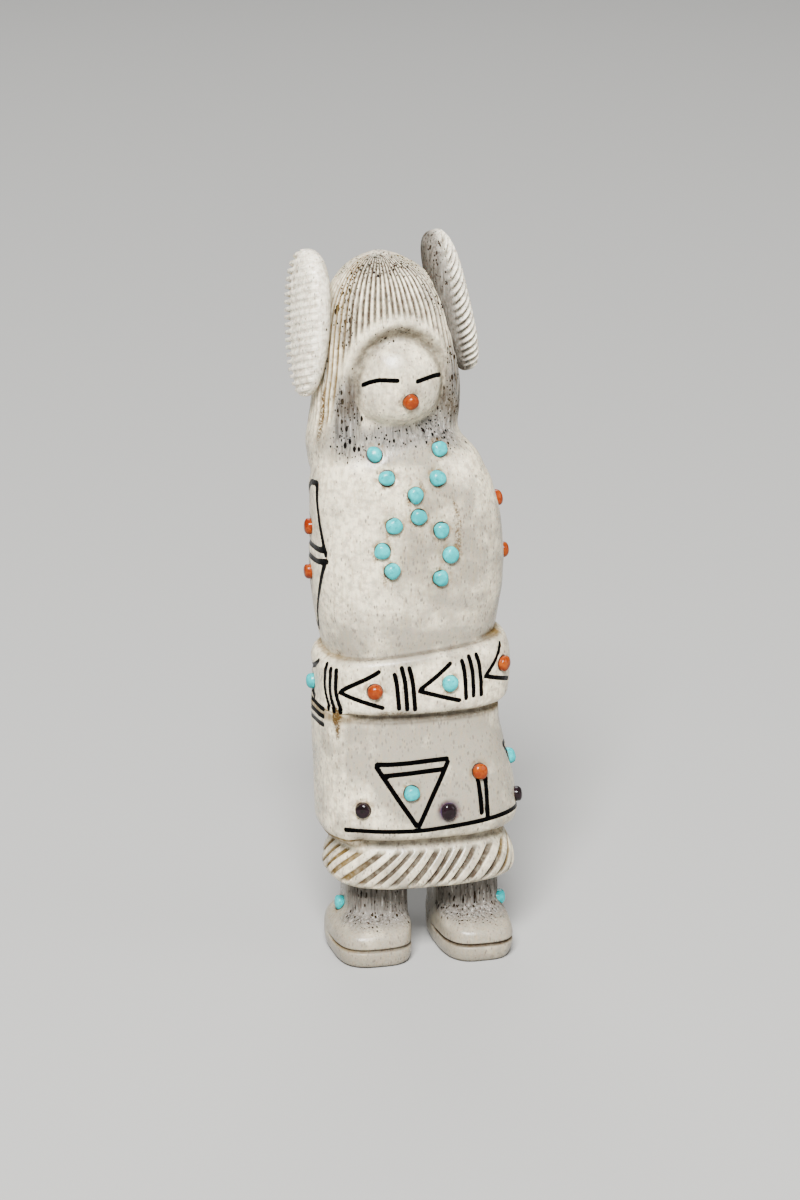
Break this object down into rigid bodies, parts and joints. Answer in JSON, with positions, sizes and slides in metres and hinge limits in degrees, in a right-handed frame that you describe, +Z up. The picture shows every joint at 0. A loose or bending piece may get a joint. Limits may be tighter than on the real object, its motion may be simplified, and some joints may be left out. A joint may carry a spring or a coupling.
{
  "type": "carved figure",
  "caption": "Standing maiden figure carved from antler, with combed hair, glued hair whorls, wrapped blanket, belt, skirt and inlaid domed stones.",
  "frame": {"origin": "middle of the figure's bounding box, on the floor under its feet", "axes": "+Z up; the figure faces -Y and its own left side is +X"},
  "size_m": [0.0361, 0.0247, 0.115],
  "materials": {
    "antler": "polished antler, cream with grey and brown mottling, rough and pitted where the spongy core shows",
    "whorl_antler": "polished cream antler",
    "turquoise": "polished stone",
    "coral": "polished stone",
    "jet": "polished stone"
  },
  "bodies": {
    "root": {"belt_stone_01": "turquoise", "belt_stone_02": "coral", "belt_stone_03": "turquoise", "belt_stone_04": "coral", "belt_stone_05": "turquoise", "belt_stone_06": "coral", "belt_stone_07": "turquoise", "blanket_stone_01": "coral", "blanket_stone_02": "coral", "blanket_stone_03": "coral", "blanket_stone_04": "coral", "body": "antler", "hair_whorl_left": "whorl_antler", "hair_whorl_right": "whorl_antler", "leg_stone_left": "turquoise", "leg_stone_right": "turquoise", "mouth_stone": "coral", "necklace_stone_01": "turquoise", "necklace_stone_02": "turquoise", "necklace_stone_03": "turquoise", "necklace_stone_04": "turquoise", "necklace_stone_05": "turquoise", "necklace_stone_06": "turquoise", "necklace_stone_07": "turquoise", "necklace_stone_08": "turquoise", "necklace_stone_09": "turquoise", "necklace_stone_10": "turquoise", "necklace_stone_11": "turquoise", "necklace_stone_12": "turquoise", "skirt_stone_01": "jet", "skirt_stone_02": "turquoise", "skirt_stone_03": "jet", "skirt_stone_04": "coral", "skirt_stone_05": "jet", "skirt_stone_06": "turquoise", "skirt_stone_07": "jet", "skirt_stone_08": "coral", "skirt_stone_09": "jet", "skirt_stone_10": "turquoise"}
  },
  "joints": []
}
